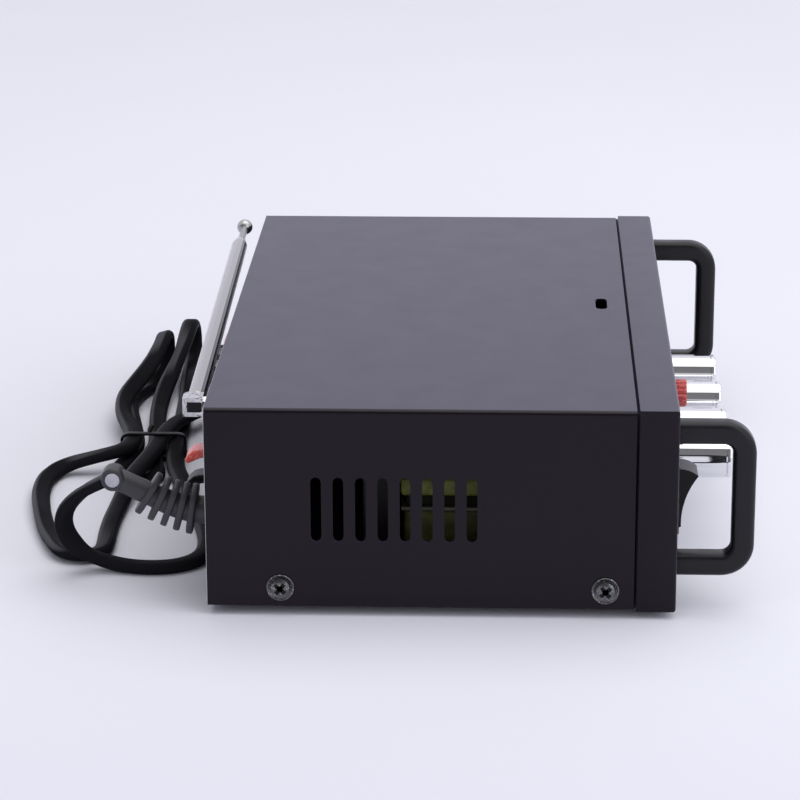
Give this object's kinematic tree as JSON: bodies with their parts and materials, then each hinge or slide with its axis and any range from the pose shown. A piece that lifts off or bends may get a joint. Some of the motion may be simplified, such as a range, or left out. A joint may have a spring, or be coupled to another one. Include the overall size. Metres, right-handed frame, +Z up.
{
  "type": "bluetooth amplifier",
  "caption": "Compact desktop bluetooth amplifier: vented black steel case, chrome dials, front handles, rocker switch, telescopic antenna, press-lever speaker terminals and a tied mains cord.",
  "frame": {"origin": "on the floor under the middle of the amplifier, counted from the fronts of the handles to the rear levers, the mains cord left out", "axes": "the front faces -Y, +X runs to the right seen from the front, and +Z is up"},
  "size_m": [0.2628, 0.23, 0.0652],
  "materials": {
    "case_paint": "satin black powder coat with a fine grain",
    "panel_plastic": "moulded black, lightly grained",
    "face_metal": "black anodised, brushed",
    "black_plastic": "moulded black",
    "gloss_black": "gloss black",
    "rubber_black": "matt black rubber",
    "steel_bright": "zinc plated",
    "screw_dark": "blackened steel",
    "chrome_plate": "polished chrome plate",
    "shaft_metal": "turned aluminium",
    "pot_metal": "stamped zinc plated can",
    "red_plastic": "gloss red",
    "brass_plate": "bright brass",
    "smoked_window": "smoked clear acrylic",
    "display_glass": "dark segmented display",
    "board_green": "solder resist on glass-epoxy laminate",
    "sink_aluminium": "extruded, natural",
    "can_sleeve": "shrink sleeve, dark",
    "core_steel": "varnished laminations",
    "coil_tape": "yellow-green polyester tape over the coil",
    "cord_vinyl": "black vinyl, slight sheen",
    "tie_wire": "plastic covered wire"
  },
  "bodies": {
    "case": {"top_cover": "case_paint", "chassis": "case_paint", "front_panel": "panel_plastic", "face_plate": "face_metal", "rubber_feet": "rubber_black", "side_screws": "screw_dark", "handle_left": "black_plastic", "handle_right": "black_plastic", "handle_screws": "steel_bright", "power_switch_housing": "black_plastic", "treble_pot": "pot_metal", "bass_pot": "pot_metal", "balance_pot": "pot_metal", "volume_pot": "pot_metal", "mic_jack": "black_plastic", "mic_jack_nut": "red_plastic", "display_window": "smoked_window", "display_module": "display_glass", "usb_socket": "steel_bright", "card_slot": "steel_bright", "control_board": "board_green", "bluetooth_module": "board_green", "main_board": "board_green", "heat_sink": "sink_aluminium", "power_chip": "black_plastic", "capacitors": "can_sleeve", "transformer_core": "core_steel", "transformer_coil": "coil_tape", "transformer_screws": "steel_bright", "right_speaker_terminals": "black_plastic", "left_speaker_terminals": "black_plastic", "line_in_sockets": "brass_plate", "dc_socket": "black_plastic", "strain_relief": "rubber_black", "cord_lead": "cord_vinyl", "cord_hank": "cord_vinyl", "cord_tie": "tie_wire", "mains_plug": "cord_vinyl"},
    "treble_control": {"treble_knob": "chrome_plate", "treble_shaft": "shaft_metal"},
    "bass_control": {"bass_knob": "chrome_plate", "bass_shaft": "shaft_metal"},
    "balance_control": {"balance_knob": "chrome_plate", "balance_shaft": "shaft_metal"},
    "volume_control": {"volume_knob": "chrome_plate", "volume_shaft": "shaft_metal"},
    "rocker": {"power_rocker": "gloss_black"},
    "mode_key": {"mode_button": "black_plastic"},
    "previous_key": {"previous_button": "black_plastic"},
    "play_key": {"play_button": "black_plastic"},
    "next_key": {"next_button": "black_plastic"},
    "right_red_arm": {"right_red_lever": "red_plastic"},
    "right_black_arm": {"right_black_lever": "black_plastic"},
    "left_red_arm": {"left_red_lever": "red_plastic"},
    "left_black_arm": {"left_black_lever": "black_plastic"},
    "swivel": {"antenna_swivel": "chrome_plate"},
    "mast": {"antenna_outer_tube": "chrome_plate"},
    "middle": {"antenna_middle_tube": "chrome_plate"},
    "inner": {"antenna_inner_tube": "chrome_plate"},
    "tip": {"antenna_tip_rod": "chrome_plate"}
  },
  "joints": [
    {"name": "treble_turn", "type": "hinge", "parent": "case", "child": "treble_control", "pos_m": [-0.04425, -0.07322, 0.027], "axis": [0, -1, 0], "range_deg": [-150, 150]},
    {"name": "bass_turn", "type": "hinge", "parent": "case", "child": "bass_control", "pos_m": [-0.01475, -0.07322, 0.027], "axis": [0, -1, 0], "range_deg": [-150, 150]},
    {"name": "balance_turn", "type": "hinge", "parent": "case", "child": "balance_control", "pos_m": [0.01475, -0.07322, 0.027], "axis": [0, -1, 0], "range_deg": [-150, 150]},
    {"name": "volume_turn", "type": "hinge", "parent": "case", "child": "volume_control", "pos_m": [0.04425, -0.07322, 0.027], "axis": [0, -1, 0], "range_deg": [-150, 150]},
    {"name": "power_rock", "type": "hinge", "parent": "case", "child": "rocker", "pos_m": [-0.091, -0.06413, 0.0314], "axis": [-1, 0, 0], "range_deg": [0, 34]},
    {"name": "mode_press", "type": "slide", "parent": "case", "child": "mode_key", "axis": [0, 1, 0], "range_m": [0, 0.0008], "stiffness_N_per_m": 300},
    {"name": "previous_press", "type": "slide", "parent": "case", "child": "previous_key", "axis": [0, 1, 0], "range_m": [0, 0.0008], "stiffness_N_per_m": 300},
    {"name": "play_press", "type": "slide", "parent": "case", "child": "play_key", "axis": [0, 1, 0], "range_m": [0, 0.0008], "stiffness_N_per_m": 300},
    {"name": "next_press", "type": "slide", "parent": "case", "child": "next_key", "axis": [0, 1, 0], "range_m": [0, 0.0008], "stiffness_N_per_m": 300},
    {"name": "right_red_press", "type": "hinge", "parent": "case", "child": "right_red_arm", "pos_m": [-0.075, 0.07322, 0.0368], "axis": [-1, 0, 0], "range_deg": [0, 12], "stiffness_Nm_per_rad": 0.5},
    {"name": "right_black_press", "type": "hinge", "parent": "case", "child": "right_black_arm", "pos_m": [-0.075, 0.07322, 0.0286], "axis": [-1, 0, 0], "range_deg": [0, 12], "stiffness_Nm_per_rad": 0.5},
    {"name": "left_red_press", "type": "hinge", "parent": "case", "child": "left_red_arm", "pos_m": [0.051, 0.07322, 0.0368], "axis": [-1, 0, 0], "range_deg": [0, 12], "stiffness_Nm_per_rad": 0.5},
    {"name": "left_black_press", "type": "hinge", "parent": "case", "child": "left_black_arm", "pos_m": [0.051, 0.07322, 0.0286], "axis": [-1, 0, 0], "range_deg": [0, 12], "stiffness_Nm_per_rad": 0.5},
    {"name": "antenna_raise", "type": "hinge", "parent": "case", "child": "swivel", "pos_m": [-0.1038, 0.07523, 0.0612], "axis": [0, -1, 0], "range_deg": [0, 180]},
    {"name": "antenna_elbow", "type": "hinge", "parent": "swivel", "child": "mast", "pos_m": [-0.1038, 0.07952, 0.0623], "axis": [0, 0, 1], "range_deg": [0, 90]},
    {"name": "middle_pull", "type": "slide", "parent": "mast", "child": "middle", "axis": [0.9998, 0.0175, 0], "range_m": [0, 0.165]},
    {"name": "inner_pull", "type": "slide", "parent": "middle", "child": "inner", "axis": [0.9998, 0.0175, 0], "range_m": [0, 0.165]},
    {"name": "tip_pull", "type": "slide", "parent": "inner", "child": "tip", "axis": [0.9998, 0.0175, 0], "range_m": [0, 0.165]}
  ]
}
